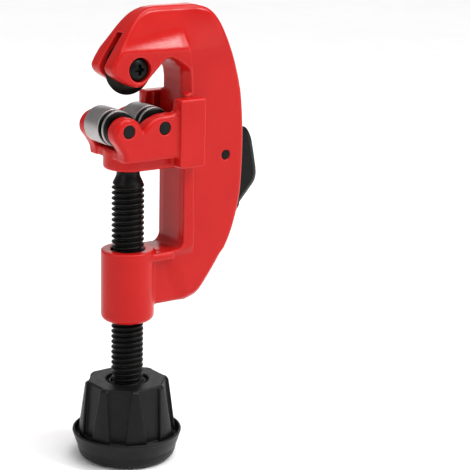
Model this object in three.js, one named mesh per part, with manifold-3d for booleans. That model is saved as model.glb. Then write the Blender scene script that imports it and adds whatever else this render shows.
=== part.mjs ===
// Tube cutter: a die-cast C frame with a cutting wheel in its head, and a two-roller
// carriage that a feed screw drives up the frame's rail. It cuts copper tube of 3 to 32 mm.
// Millimetres. The origin is the centre of the knob's flat base, +Z runs up the feed screw
// to the wheel, +X points from the screw to the spine, and every cross axle lies along Y.
import * as THREE from 'three';
import { mergeVertices } from 'three/addons/utils/BufferGeometryUtils.js';
import Module from 'manifold-3d';

const wasm = await Module();
wasm.setup();

// ---- driving dimensions ----
const RUN = 0.07;                 // radial clearance of a running fit
const PRESS = 0.05;               // radial clearance drawn round a pressed pin

const WEB_HALF = 6.5;             // frame web and head, half width along Y
const RAIL_HALF = 8;              // rail, half width along Y
const RAIL_X = 16.8;              // rail's running face
const RAIL_BACK = 20.5;           // back edge of the raised rail
const FRAME_TOP = 149.6;
const ARM_TOP = 70.3;
const ARM_BOTTOM = 52;
const HEAD_TOP_HALF = 3.3;        // head, half width at its top edge
const CAST_EDGE = 1.5;            // rounding of the casting's edges

const BARREL_R = 8.75;
const BARREL_Z = [47.3, 71.2];

const WHEEL_Z = 130.5;            // wheel axle height; the axle crosses the screw's axis
const WHEEL_R = 8.8;
const WHEEL_BORE_R = 2.07;
const WHEEL_HUB_R = 3.9;
const WHEEL_HUB_HALF = 1.55;
const WHEEL_DISC_HALF = 0.9;
const SLOT_HALF = 1.7;            // slot in the head, half width
const SLOT_TOP = 141.6;
const AXLE_R = 2;
const HEAD_SCREW_R = 3.75;
const COUNTERBORE_R = 3.9;
const COUNTERBORE_Y = -3.9;       // floor of the screw head's counterbore

const ROLLER_X = 6.66;            // rollers sit at plus and minus this
const ROLLER_Z = 112.15;
const ROLLER_R = 5.95;
const ROLLER_HALF = 6.5;
const GROOVE_Y = [-2.8, -0.8];    // flare groove of each roller
const GROOVE_DEPTH = 1.6;
const ROLLER_PIN_R = 2.1;

const EAR_IN = 6.8;               // carriage ears, inner and outer half width
const EAR_OUT = 11.46;
const EAR_BOTTOM = 102.05;
const BASE_TOP = 105;
const BOSS_R = 8.1;
const BOSS_BOTTOM = 98.1;
const PLATE_OUT = 12.85;
const PLATE_IN = 8.15;
const PLATE_X = [11.9, 21.4];
const PLATE_Z = [98.5, 120.8];
const LOW_WALL_TOP = 111;         // wall between the plates, in front of the rail
const RIB_X = [14.2, 14.9];       // rib inside each plate

const SCREW_R = 5.32;             // feed screw, over its thread
const SCREW_THREAD_Z = [16, 91];
const NECK_R = 3.9;
const NECK_Z = 95;
const SHOULDER_Z = 99.25;         // where the neck steps down to the journal
const JOURNAL_R = 2.9;
const SCREW_TIP = 106.6;
const CLIP_GROOVE_Z = [105.15, 106];
const CLIP_GROOVE_R = 2.35;
const TAIL_R = 3;                 // turned-down end that carries the knob
const TAIL_Z = 7.7;

const KNOB_TOP = 26.45;
const KNOB_TOP_R = 13.8;
const KNOB_BASE_R = 16.2;
const SKIRT_R = 15.4;
const SKIRT_Z = [2.7, 7.6];
const STORE_R = 9.8;              // store for the spare wheel
const STORE_TOP = 13.2;
const FLUTES = 8;
const FLUTE_PHASE = 47;           // degrees, first flute from +X

const CUP_RIM_R = 18.15;
const CUP_RIM_Z = 9.5;
const CUP_FLOOR = 2.3;

const REAMER_PIVOT = [33.95, 99.9];
const REAMER_HALF = 1;
const REAMER_SLOT_HALF = 1.65;
const REAMER_PIN_R = 1.6;

// ---- materials ----
function standard(color, roughness, metalness) {
  return new THREE.MeshStandardMaterial({ color, roughness, metalness });
}
const redPaint = standard(0xd42a28, 0.35, 0);
const blackOxide = standard(0x16171a, 0.45, 0.6);
const blackPlastic = standard(0x1c1c1e, 0.5, 0);
const satinSteel = standard(0x8c8c90, 0.35, 0.9);
const toolSteel = standard(0x2a2b2e, 0.4, 0.8);
const brightSteel = standard(0xb5b6ba, 0.3, 1);

// ---- geometry helpers ----
function solid(geometry) {
  geometry.deleteAttribute('normal');
  geometry.deleteAttribute('uv');
  const merged = mergeVertices(geometry, 1e-4);
  const triangles = [];
  const index = merged.index.array;
  for (let i = 0; i < index.length; i += 3) {
    const [a, b, c] = [index[i], index[i + 1], index[i + 2]];
    if (a !== b && b !== c && c !== a) triangles.push(a, b, c);
  }
  return new wasm.Manifold(new wasm.Mesh({
    numProp: 3,
    vertProperties: new Float32Array(merged.attributes.position.array),
    triVerts: new Uint32Array(triangles),
  }));
}

function box(x0, x1, y0, y1, z0, z1) {
  const geometry = new THREE.BoxGeometry(x1 - x0, y1 - y0, z1 - z0);
  geometry.translate((x0 + x1) / 2, (y0 + y1) / 2, (z0 + z1) / 2);
  return solid(geometry);
}

// Turns a profile of [radius, z] points, listed upwards along the outside, about Z.
function turned(profile, segments = 36) {
  const points = profile.map(([r, z]) => new THREE.Vector2(r, z));
  const geometry = new THREE.LatheGeometry(points, segments);
  geometry.rotateX(Math.PI / 2);
  return solid(geometry);
}

function rodZ(radius, z0, z1, segments = 40) {
  return turned([[0, z0], [radius, z0], [radius, z1], [0, z1]], segments);
}

// The same, laid along Y: heights in the profile become Y.
function alongY(piece) {
  return piece.rotate([-90, 0, 0]);
}

function rodY(radius, y0, y1, x = 0, z = 0, segments = 32) {
  return alongY(rodZ(radius, y0, y1, segments)).translate([x, 0, z]);
}

// Extrudes an outline drawn in X and Z from y0 to y1.
function extrudedY(shape, y0, y1, edge = 0, curveSegments = 6) {
  const geometry = new THREE.ExtrudeGeometry(shape, {
    depth: y1 - y0 - 2 * edge,
    curveSegments,
    bevelEnabled: edge > 0,
    bevelThickness: edge,
    bevelSize: edge,
    bevelOffset: -edge,
    bevelSegments: 2,
  });
  geometry.rotateX(Math.PI / 2);
  geometry.translate(0, y1 - edge, 0);
  return solid(geometry);
}

function extrudedZ(shape, z0, z1, curveSegments = 16) {
  const geometry = new THREE.ExtrudeGeometry(shape, { depth: z1 - z0, curveSegments, bevelEnabled: false });
  geometry.translate(0, 0, z0);
  return solid(geometry);
}

function polygon(points) {
  return new THREE.Shape(points.map(([x, y]) => new THREE.Vector2(x, y)));
}

function vectors(points) {
  return points.map(([x, y]) => new THREE.Vector2(x, y));
}

function placed(name, piece, material, position = [0, 0, 0]) {
  const result = piece.getMesh();
  const geometry = new THREE.BufferGeometry();
  geometry.setAttribute('position', new THREE.BufferAttribute(result.vertProperties, 3));
  geometry.setIndex(new THREE.BufferAttribute(result.triVerts, 1));
  geometry.computeVertexNormals();
  const mesh = new THREE.Mesh(geometry, material);
  mesh.name = name;
  mesh.position.set(...position);
  return mesh;
}

// ---- frame ----
function frameOutline() {
  const shape = new THREE.Shape();
  shape.moveTo(0, ARM_BOTTOM);
  shape.lineTo(19.5, ARM_BOTTOM);
  shape.splineThru(vectors([
    [24.1, 53.7], [28.1, 58.1], [33.7, 66.1], [37.7, 74.2], [40.5, 85], [41.35, 97], [41.25, 110],
    [39.95, 122.2], [37.35, 131.3], [34, 139.4], [31, 144.9], [27.7, 148.2], [23.4, FRAME_TOP],
  ]));
  shape.lineTo(9, FRAME_TOP);
  shape.splineThru(vectors([[3.2, 148.2], [-1.2, 144.6], [-5.2, 139.3], [-9.2, 133.6]]));
  shape.splineThru(vectors([[-9.9, 131], [-8.6, 129], [-4.4, 126.3], [-0.6, 125], [2.4, 126.1]]));
  shape.lineTo(8.7, 132.2);
  shape.splineThru(vectors([[11.4, 133.4], [14.6, 132], [RAIL_X, 127.5]]));
  shape.lineTo(RAIL_X, ARM_TOP + 3);
  shape.quadraticCurveTo(RAIL_X, ARM_TOP, RAIL_X - 3, ARM_TOP);
  shape.lineTo(0, ARM_TOP);
  shape.closePath();
  return shape;
}

// The raised border that carries the rail: up the window's inner side and along the arm.
function railOutline() {
  const shape = new THREE.Shape();
  shape.moveTo(3, ARM_TOP - 2.6);
  shape.lineTo(RAIL_BACK - 3, ARM_TOP - 2.6);
  shape.quadraticCurveTo(RAIL_BACK, ARM_TOP - 2.6, RAIL_BACK, ARM_TOP + 1);
  shape.lineTo(RAIL_BACK - 0.6, 127);
  shape.splineThru(vectors([[19, 132.5], [16.8, 136.6], [12.6, 136.2]]));
  shape.lineTo(10.6, 133.2);
  shape.splineThru(vectors([[12.2, 133.35], [14.6, 132], [RAIL_X, 127.5]]));
  shape.lineTo(RAIL_X, ARM_TOP + 3);
  shape.quadraticCurveTo(RAIL_X, ARM_TOP, RAIL_X - 3, ARM_TOP);
  shape.lineTo(3, ARM_TOP);
  shape.closePath();
  return shape;
}

// The waste on one side of the head: above a bright ledge its face leans in to the top edge.
function headTaper(side) {
  const waste = polygon([
    [side * (HEAD_TOP_HALF - 0.2), FRAME_TOP + 1],
    [side * 5.3, 138.6],
    [side * (WEB_HALF + 0.4), 136.8],
    [side * 12, 136.8],
    [side * 12, FRAME_TOP + 1],
  ]);
  const geometry = new THREE.ExtrudeGeometry(waste, { depth: 44, bevelEnabled: false });
  geometry.rotateX(Math.PI / 2);
  geometry.rotateZ(Math.PI / 2);
  geometry.translate(-16, 0, 0);
  const runOut = box(-60, 0, -40, 40, 120, 160).rotate([0, 0, side * 30]).translate([22, side * HEAD_TOP_HALF, 0]);
  return solid(geometry).intersect(runOut);
}

function wheelSlot() {
  const shape = new THREE.Shape();
  shape.moveTo(-14, 118);
  shape.lineTo(10, 118);
  shape.lineTo(10, WHEEL_Z);
  shape.absarc(0, WHEEL_Z, 10, 0, Math.PI * 0.46, false);
  shape.lineTo(-1, SLOT_TOP);
  shape.lineTo(-14, SLOT_TOP);
  shape.closePath();
  return extrudedY(shape, -SLOT_HALF, SLOT_HALF);
}

function reamerOutline(grow = 0) {
  const shape = new THREE.Shape();
  shape.moveTo(30.2 - grow, 101 + grow);
  shape.quadraticCurveTo(30.6 - grow, 105.5 + grow, 35.5, 106.4 + grow);
  shape.lineTo(43.6, 107.9 + grow);
  shape.quadraticCurveTo(48.4 + grow, 107 + grow, 49.8 + grow, 99.2);
  shape.lineTo(51.2 + grow, 92.6);
  shape.quadraticCurveTo(51.7 + grow, 88.6, 48.2 + grow, 85.2);
  shape.lineTo(43.7 + grow, 80.3);
  shape.lineTo(37.2 + grow, 70.8 - grow);
  shape.lineTo(36 - grow, 70.8 - grow);
  shape.lineTo(33.6 - grow, 84);
  shape.closePath();
  return shape;
}

// Room for the blade folded away and for its swing out of the back of the spine.
function reamerSlot() {
  const [px, pz] = REAMER_PIVOT;
  const folded = extrudedY(reamerOutline(0.8), -REAMER_SLOT_HALF, REAMER_SLOT_HALF);
  const swing = new THREE.Shape();
  swing.moveTo(px - 8.4, pz - 4);
  swing.lineTo(px + 14, pz - 4);
  swing.lineTo(px + 14, pz + 20);
  swing.lineTo(px - 2, pz + 20);
  swing.lineTo(px - 8.4, pz + 13);
  swing.closePath();
  return folded.add(extrudedY(swing, -REAMER_SLOT_HALF, REAMER_SLOT_HALF));
}

function frame() {
  let body = extrudedY(frameOutline(), -WEB_HALF, WEB_HALF, CAST_EDGE, 3);
  body = body.subtract(headTaper(1)).subtract(headTaper(-1));
  body = body.add(extrudedY(railOutline(), -RAIL_HALF, RAIL_HALF, 0, 3));
  body = body.add(turned([
    [0, BARREL_Z[0]], [BARREL_R - 2, BARREL_Z[0]], [BARREL_R - 0.6, BARREL_Z[0] + 0.6],
    [BARREL_R, BARREL_Z[0] + 2], [BARREL_R, BARREL_Z[1] - 1.6], [BARREL_R - 0.5, BARREL_Z[1] - 0.5],
    [BARREL_R - 1.6, BARREL_Z[1]], [0, BARREL_Z[1]],
  ]));
  body = body.subtract(rodZ(SCREW_R + RUN + 0.02, 40, 80));
  body = body.subtract(wheelSlot());
  body = body.subtract(rodY(AXLE_R + PRESS, -10, 10, 0, WHEEL_Z));
  body = body.subtract(rodY(COUNTERBORE_R, -10, COUNTERBORE_Y, 0, WHEEL_Z));
  body = body.subtract(reamerSlot());
  body = body.subtract(rodY(REAMER_PIN_R + PRESS, -10, 10, ...REAMER_PIVOT, 24));
  return placed('frame', body, redPaint);
}

// ---- wheel and its axle ----
function wheelProfile() {
  return [
    [WHEEL_BORE_R, -WHEEL_HUB_HALF], [WHEEL_HUB_R, -WHEEL_HUB_HALF], [WHEEL_HUB_R + 0.6, -WHEEL_DISC_HALF],
    [WHEEL_R - 2.2, -WHEEL_DISC_HALF], [WHEEL_R, -0.08], [WHEEL_R, 0.08], [WHEEL_R - 2.2, WHEEL_DISC_HALF],
    [WHEEL_HUB_R + 0.6, WHEEL_DISC_HALF], [WHEEL_HUB_R, WHEEL_HUB_HALF], [WHEEL_BORE_R, WHEEL_HUB_HALF],
    [WHEEL_BORE_R, -WHEEL_HUB_HALF],
  ];
}

function cutterWheel() {
  return placed('cutter_wheel', alongY(turned(wheelProfile())), toolSteel, [0, 0, WHEEL_Z]);
}

function wheelScrew() {
  const headBase = COUNTERBORE_Y - 0.75;
  const head = turned([
    [0, headBase - 2.3], [1.6, headBase - 2.15], [2.8, headBase - 1.8], [HEAD_SCREW_R, headBase - 1.2],
    [HEAD_SCREW_R, headBase], [AXLE_R, headBase], [AXLE_R, 5.8], [AXLE_R - 0.4, 6.3], [0, 6.3],
  ], 40);
  const recess = box(-0.45, 0.45, -1.9, 1.9, headBase - 3, headBase - 1.1);
  const cross = recess.add(recess.rotate([0, 0, 90]));
  return placed('wheel_screw', alongY(head.subtract(cross)), blackOxide, [0, 0, WHEEL_Z]);
}

function washer(name, inner, outer, thickness, material, position, along) {
  const ring = turned([[inner, 0], [outer, 0], [outer, thickness], [inner, thickness], [inner, 0]], 32);
  return placed(name, along === 'y' ? alongY(ring) : ring, material, position);
}

// ---- reamer ----
function reamerBlade() {
  const blade = extrudedY(reamerOutline(), -REAMER_HALF, REAMER_HALF);
  const bore = rodY(REAMER_PIN_R + RUN, -3, 3, ...REAMER_PIVOT, 24);
  return placed('reamer_blade', blade.subtract(bore), blackOxide);
}

function reamerPin() {
  return placed('reamer_pin', rodY(REAMER_PIN_R, -6.3, 6.3, 0, 0, 24), blackOxide,
    [REAMER_PIVOT[0], 0, REAMER_PIVOT[1]]);
}

// ---- carriage ----
function earOutline() {
  const shape = new THREE.Shape();
  shape.moveTo(-7.65, EAR_BOTTOM);
  shape.lineTo(PLATE_X[0] + 1, EAR_BOTTOM);
  shape.lineTo(PLATE_X[0] + 1, 120.2);
  shape.splineThru(vectors([[12, 119.6], [11.3, 117.6], [10.2, 116.8], [8.3, 116.6]]));
  shape.splineThru(vectors([[5.6, 116.4], [2.8, 115.5], [0.3, 114], [-1.5, 112.2]]));
  shape.splineThru(vectors([[-2.4, 114.5], [-4.4, 116.1], [-7, 116.7], [-9.9, 115.5],
    [-11.9, 112.9], [-11.8, 110], [-9.6, 107], [-8.2, 104.8], [-7.65, EAR_BOTTOM]]));
  return shape;
}

function baseOutline() {
  const shape = new THREE.Shape();
  shape.moveTo(RAIL_X - 0.4, BOSS_R);
  shape.lineTo(0, BOSS_R);
  shape.absarc(0, 0, BOSS_R, Math.PI / 2, Math.PI * 1.5, false);
  shape.lineTo(RAIL_X - 0.4, -BOSS_R);
  shape.closePath();
  return shape;
}

// The rear block: two plates that straddle the rail, a low wall between them and a rib inside each.
function slideBlock() {
  let block = box(PLATE_X[0], PLATE_X[1], -PLATE_OUT, PLATE_OUT, ...PLATE_Z);
  block = block.subtract(box(RAIL_X - 0.3, PLATE_X[1] + 1, -PLATE_IN, PLATE_IN, PLATE_Z[0] - 1, PLATE_Z[1] + 1));
  block = block.subtract(box(PLATE_X[0] - 1, RAIL_X, -PLATE_IN, PLATE_IN, LOW_WALL_TOP, PLATE_Z[1] + 1));
  for (const side of [-1, 1]) {
    const faces = [side * (PLATE_IN - 0.8), side * (PLATE_IN + 0.5)].sort((a, b) => a - b);
    block = block.add(box(...RIB_X, ...faces, LOW_WALL_TOP - 1, PLATE_Z[1] - 0.6));
  }
  return block;
}

function carriage() {
  let body = slideBlock();
  body = body.add(extrudedY(earOutline(), EAR_IN, EAR_OUT, 0, 3));
  body = body.add(extrudedY(earOutline(), -EAR_OUT, -EAR_IN, 0, 3));
  body = body.add(extrudedZ(baseOutline(), BOSS_BOTTOM, BASE_TOP));
  body = body.add(box(-7.65, PLATE_X[0] + 1, -EAR_OUT + 0.5, EAR_OUT - 0.5, EAR_BOTTOM, BASE_TOP));
  for (const x of [-ROLLER_X, ROLLER_X]) {
    body = body.subtract(rodY(ROLLER_PIN_R + PRESS, -20, 20, x, ROLLER_Z));
  }
  body = body.subtract(rodY(ROLLER_R + 0.4, -EAR_IN, EAR_IN, ROLLER_X, ROLLER_Z));
  body = body.subtract(rodZ(JOURNAL_R + RUN, 90, 110, 40));
  body = body.subtract(rodZ(NECK_R + 0.4, 90, 100.4, 40));
  return placed('carriage', body, redPaint);
}

function roller(name, x) {
  const r = ROLLER_R;
  const floor = ROLLER_R - GROOVE_DEPTH;
  const profile = [
    [ROLLER_PIN_R + RUN, -ROLLER_HALF], [r - 1.1, -ROLLER_HALF], [r - 1.1, -4.1], [r - 0.3, -4.1], [r, -3.8],
    [r, GROOVE_Y[0]], [floor, GROOVE_Y[0]], [floor, GROOVE_Y[1]], [r, GROOVE_Y[1]], [r, ROLLER_HALF - 0.3],
    [r - 0.3, ROLLER_HALF], [ROLLER_PIN_R + RUN, ROLLER_HALF], [ROLLER_PIN_R + RUN, -ROLLER_HALF],
  ];
  return placed(name, alongY(turned(profile, 32)), satinSteel, [x, 0, ROLLER_Z]);
}

function rollerPin(name, x) {
  const half = EAR_OUT - 0.2;
  const pin = turned([
    [0, -half], [ROLLER_PIN_R - 0.3, -half], [ROLLER_PIN_R, -half + 0.3],
    [ROLLER_PIN_R, half - 0.3], [ROLLER_PIN_R - 0.3, half], [0, half],
  ], 32);
  return placed(name, alongY(pin), blackOxide, [x, 0, ROLLER_Z]);
}

// ---- feed screw ----
function feedScrew() {
  const [threadLow, threadHigh] = SCREW_THREAD_Z;
  const [grooveLow, grooveHigh] = CLIP_GROOVE_Z;
  const screw = turned([
    [0, TAIL_Z], [TAIL_R - 0.4, TAIL_Z], [TAIL_R, TAIL_Z + 0.4], [TAIL_R, threadLow], [SCREW_R, threadLow],
    [SCREW_R, threadHigh], [NECK_R, NECK_Z], [NECK_R, SHOULDER_Z], [JOURNAL_R, SHOULDER_Z],
    [JOURNAL_R, grooveLow], [CLIP_GROOVE_R, grooveLow], [CLIP_GROOVE_R, grooveHigh],
    [JOURNAL_R, grooveHigh], [JOURNAL_R, SCREW_TIP - 0.3], [JOURNAL_R - 0.3, SCREW_TIP], [0, SCREW_TIP],
  ], 40);
  return placed('feed_screw', screw, blackOxide);
}

// A flat snap ring with a gap, seated in the groove at the screw's tip.
function retainingClip() {
  const thickness = 0.6;
  const ring = turned([[2.42, 0], [4.6, 0], [4.6, thickness], [2.42, thickness], [2.42, 0]], 36);
  const gap = box(0, 6, -1.6, 1.6, -1, 2);
  return placed('retaining_clip', ring.subtract(gap), brightSteel, [0, 0, CLIP_GROOVE_Z[0] + 0.12]);
}

// ---- knob ----
function fluteWaste(angle) {
  const depth = 1.5;
  const flute = new THREE.Shape(vectors([[-2.4, 0], [2.4, 0], [3.6, 20], [-3.6, 20]]));
  const geometry = new THREE.ExtrudeGeometry(flute, { depth: 6, bevelEnabled: false });
  geometry.rotateX(Math.PI / 2);
  geometry.rotateZ(Math.PI / 2);
  geometry.rotateY(-Math.atan((KNOB_BASE_R - KNOB_TOP_R) / 18));
  geometry.translate(KNOB_BASE_R - depth, 0, 8.6);
  geometry.rotateZ(angle);
  return solid(geometry);
}

function knob() {
  let body = turned([
    [STORE_R, SKIRT_Z[0]], [SKIRT_R, SKIRT_Z[0]], [SKIRT_R, SKIRT_Z[1]], [KNOB_BASE_R, 8.2],
    [KNOB_TOP_R + 0.5, 24.4], [KNOB_TOP_R, 25.8], [KNOB_TOP_R - 1, KNOB_TOP], [7.1, KNOB_TOP],
    [7.1, 25.2], [6.2, 25.2], [6.2, KNOB_TOP - 0.2], [SCREW_R + 0.1, KNOB_TOP - 0.2],
    [SCREW_R + 0.1, SCREW_THREAD_Z[0] - 0.1], [TAIL_R + 0.1, SCREW_THREAD_Z[0] - 0.1],
    [TAIL_R + 0.1, STORE_TOP], [STORE_R, STORE_TOP], [STORE_R, SKIRT_Z[0]],
  ], 48);
  for (let i = 0; i < FLUTES; i += 1) {
    const angle = THREE.MathUtils.degToRad(FLUTE_PHASE + i * 360 / FLUTES);
    body = body.subtract(fluteWaste(angle));
  }
  return placed('knob', body, blackPlastic);
}

function knobNut() {
  const nut = turned([
    [TAIL_R + 0.08, 0], [5, 0], [5.5, 0.4], [5.5, 3.4], [TAIL_R + 0.08, 3.4], [TAIL_R + 0.08, 0],
  ], 6);
  return placed('knob_nut', nut.subtract(rodZ(TAIL_R + 0.08, -1, 5, 32)), brightSteel, [0, 0, 8.5]);
}

function endCap() {
  const wallIn = SKIRT_R + 0.15;
  const cup = turned([
    [0, 0], [13.3, 0], [14.7, 0.35], [15.9, 1.4], [16.4, 3], [16.5, 3.9], [CUP_RIM_R - 0.1, 8.7],
    [CUP_RIM_R, 9.2], [CUP_RIM_R - 0.35, CUP_RIM_Z], [CUP_RIM_R - 0.9, 9.2], [16.7, 7.4], [wallIn, 7.2],
    [wallIn, CUP_FLOOR], [STORE_R - 0.2, CUP_FLOOR], [STORE_R - 0.2, 3.6], [STORE_R - 1.2, 3.6],
    [STORE_R - 1.2, CUP_FLOOR], [WHEEL_BORE_R - 0.1, CUP_FLOOR], [WHEEL_BORE_R - 0.1, 6.6],
    [WHEEL_BORE_R - 0.5, 7.1], [0, 7.1],
  ], 48);
  return placed('end_cap', cup, blackPlastic);
}

function spareWheel() {
  const height = CUP_FLOOR + 0.2 + WHEEL_HUB_HALF;
  return placed('spare_wheel', turned(wheelProfile(), 32), toolSteel, [0, 0, height]);
}

// ---- assembly ----
const group = new THREE.Group();
group.add(frame());
group.add(cutterWheel());
group.add(wheelScrew());
group.add(washer('wheel_lock_washer', AXLE_R + 0.1, 3.5, 0.5, brightSteel,
  [0, COUNTERBORE_Y - 0.62, WHEEL_Z], 'y'));
group.add(reamerBlade());
group.add(reamerPin());
group.add(washer('reamer_spring_washer', REAMER_PIN_R + 0.1, 3.6, 0.35, brightSteel,
  [REAMER_PIVOT[0], REAMER_HALF + 0.15, REAMER_PIVOT[1]], 'y'));
group.add(carriage());
group.add(roller('front_roller', -ROLLER_X));
group.add(roller('rear_roller', ROLLER_X));
group.add(rollerPin('front_roller_pin', -ROLLER_X));
group.add(rollerPin('rear_roller_pin', ROLLER_X));
group.add(feedScrew());
group.add(washer('thrust_washer', JOURNAL_R + 0.1, 4.1, 0.9, brightSteel, [0, 0, SHOULDER_Z + 0.12]));
group.add(retainingClip());
group.add(knob());
group.add(washer('knob_washer', TAIL_R + 0.1, 6.2, 0.8, brightSteel, [0, 0, 12.2]));
group.add(knobNut());
group.add(endCap());
group.add(spareWheel());

export default group;
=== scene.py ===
"""Tube cutter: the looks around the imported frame. Lengths in this script are millimetres, in the
frame's own axes (origin at the knob's base, +Z up the feed screw, +X to the spine), and MM turns
them into Blender's metres. Cast and moulded pieces are distance fields turned into meshes, turned
pieces are profiles swept round an axle, and the feed screw is a swept helical thread."""
import math

import bpy
import numpy as np
import openvdb
from mathutils import Matrix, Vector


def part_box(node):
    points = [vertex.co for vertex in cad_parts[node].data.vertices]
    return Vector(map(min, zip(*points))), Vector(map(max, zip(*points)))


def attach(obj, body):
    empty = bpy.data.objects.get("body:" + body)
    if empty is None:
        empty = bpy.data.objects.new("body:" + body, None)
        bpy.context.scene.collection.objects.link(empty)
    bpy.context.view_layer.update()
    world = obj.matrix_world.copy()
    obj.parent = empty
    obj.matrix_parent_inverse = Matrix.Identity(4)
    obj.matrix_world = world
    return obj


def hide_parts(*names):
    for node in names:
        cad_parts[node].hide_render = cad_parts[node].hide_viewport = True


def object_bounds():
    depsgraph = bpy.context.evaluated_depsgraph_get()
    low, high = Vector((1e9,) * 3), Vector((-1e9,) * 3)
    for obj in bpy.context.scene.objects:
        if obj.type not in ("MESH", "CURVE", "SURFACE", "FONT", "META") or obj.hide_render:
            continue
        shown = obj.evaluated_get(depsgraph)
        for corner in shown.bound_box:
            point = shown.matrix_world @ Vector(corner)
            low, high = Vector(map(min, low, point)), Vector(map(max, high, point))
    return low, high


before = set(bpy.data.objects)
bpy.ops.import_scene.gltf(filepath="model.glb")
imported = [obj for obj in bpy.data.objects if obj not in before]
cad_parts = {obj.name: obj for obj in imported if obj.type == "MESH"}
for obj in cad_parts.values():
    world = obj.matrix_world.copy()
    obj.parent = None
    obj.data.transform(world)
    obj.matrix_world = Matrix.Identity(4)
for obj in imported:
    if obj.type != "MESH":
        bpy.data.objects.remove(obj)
cad_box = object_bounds()

MM = 0.001
UP = np.array([0.0, 0.0, 1.0])
ALONG_Y = np.array([0.0, 1.0, 0.0])


def node_box(node):
    low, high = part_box(node)
    return np.array(low) / MM, np.array(high) / MM


def node_centre(node):
    low, high = node_box(node)
    return (low + high) / 2


def node_radius(node):
    """Half the height of a round node that lies along Y."""
    low, high = node_box(node)
    return (high[2] - low[2]) / 2


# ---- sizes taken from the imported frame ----
WHEEL_Z = node_centre("cutter_wheel")[2]
WHEEL_R = node_radius("cutter_wheel")
ROLLER_X = node_centre("rear_roller")[0]
ROLLER_Z = node_centre("rear_roller")[2]
ROLLER_R = node_radius("rear_roller")
PIVOT_X, _, PIVOT_Z = node_centre("reamer_pin")
FRAME_TOP = node_box("frame")[1][2]
SCREW_R = node_box("feed_screw")[1][0]
SCREW_TIP = node_box("feed_screw")[1][2]
TAIL_Z = node_box("feed_screw")[0][2]
KNOB_TOP = node_box("knob")[1][2]
CUP_R = node_box("end_cap")[1][0]

# ---- clearances between pieces ----
AXLE_GAP = 0.06
SCREW_GAP = 0.2
ROLLER_GAP = 0.4

# ---- frame casting ----
WEB_HALF = 6.5
WEB_EDGE = 1.9
HEAD_HALF = 3.2
HEAD_LEAN = 0.25
HEAD_LOW = 120
CROWN = 0.6
ARM_HOLLOW = 0.9
NOSE_HALF = 6.75
RAIL_HALF = 8.0
RAIL_X = 16.8
RAIL_CHAMFER = 0.5
ARM_TOP = 70.3
ARM_BOTTOM = 52.0
ARM_END_X = 19.5
WINDOW_R = 3
WINDOW_MIDDLE = 100
STRIP = 2.7
STRIP_FRONT_X = 13.5
STRIP_FOOT = 57
LEDGE_Z = 136.2
LEDGE_SLOPE = 1.75
BARREL_R = 8.75
BARREL_LOW = 47.3
BARREL_HIGH = 71.2
BORE_TOP = 80
SLOT_HALF = 1.7
SLOT_TOP = 141.6
SLOT_FRONT_X = -14
SLOT_LOW = 118
SLOT_R = 10
AXLE_R = 2.0
COUNTERBORE_R = 3.9
COUNTERBORE_Y = -3.9
REAMER_SLOT_HALF = 1.65
REAMER_PIN_R = 1.6
REAMER_PIN_HALF = 6.3
WITNESS_X = (13.1, 13.9)
WITNESS_Z = (66.8, 69.6)
WITNESS_HALF = 7.0

# ---- carriage casting ----
PIN_R = 2.1
PIN_HALF = 11.26
EAR_IN = 6.8
EAR_OUT = 11.46
EAR_BOTTOM = 102.05
EAR_FRONT_X = -7.65
BASE_TOP = 105.0
BOSS_R = 8.1
BOSS_BOTTOM = 98.1
PLATE_OUT = 12.85
PLATE_IN = 8.15
PLATE_X = 11.9
PLATE_BACK = 21.4
PLATE_LOW = 98.5
PLATE_HIGH = 120.8
PLATE_EDGE = 0.7
LOW_WALL_TOP = 111.0
RIB_X = (14.2, 14.9)
TIP_HOLE_R = 3.0
JOURNAL_R = 4.3
JOURNAL_TOP = 100.4

# ---- knob and end cap ----
FLUTES = 8
FLUTE_PHASE = math.radians(47)
FLUTE_FLOOR = 14.75
FLUTE_LEAN = 0.13
FLUTE_HALF = 2.45
FLUTE_SPREAD = 1.45
CONE_LOW = 8.0
CONE_HIGH = 24.6
CONE_LOW_R = 16.2
CONE_HIGH_R = 14.1
KNOB_FOOT = 8.1
KNOB_EDGE = 1.2
SKIRT_R = 15.4
SKIRT_Z = (2.75, 8.6)
RING_R = 6.65
RING_HALF = 0.45
RING_FLOOR = 25.3
COLLAR_R = 6.4
COLLAR_DEPTH = 0.5
STORE_R = 9.8
STORE_TOP = 13.2
CUP_WALL_R = 15.55
CUP_FLOOR = 2.3

# ---- rollers, wheels and reamer blade ----
ROLLER_HALF = 6.5
ROLLER_BORE = 2.17
GROOVE_DEPTH = 1.6
GROOVE_Y = (-3.8, -1.9)
SHOULDER_Y = -4.7
SHOULDER_DROP = 0.6
GROOVE_RIB_DROP = 0.15
WHEEL_BORE = 2.07
WHEEL_HUB_R = 3.9
WHEEL_WEB_R = 4.5
WHEEL_HUB_HALF = 1.55
WHEEL_WEB_HALF = 0.9
WHEEL_EDGE_HALF = 0.05
WHEEL_BEVEL = 2.2
REAMER_HALF = 1.0
REAMER_ROOM = 0.8
BEVEL_FROM_X = 43.9
BEVEL_WIDTH = 1.7
BEVEL_SLOPE = 0.55
BEVEL_SCALE = 0.88
BLADE_HOLE_R = 1.67

# ---- wheel screw ----
HEAD_FRONT_Y = COUNTERBORE_Y - 0.75
HEAD_R = 3.78
DOME_R = 6.2
DOME_BACK = 3.9
SHANK_END_Y = 6.3
CROSS_ARM = 0.62
CROSS_REACH = 2.05
CROSS_TAPER = 0.16

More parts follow.
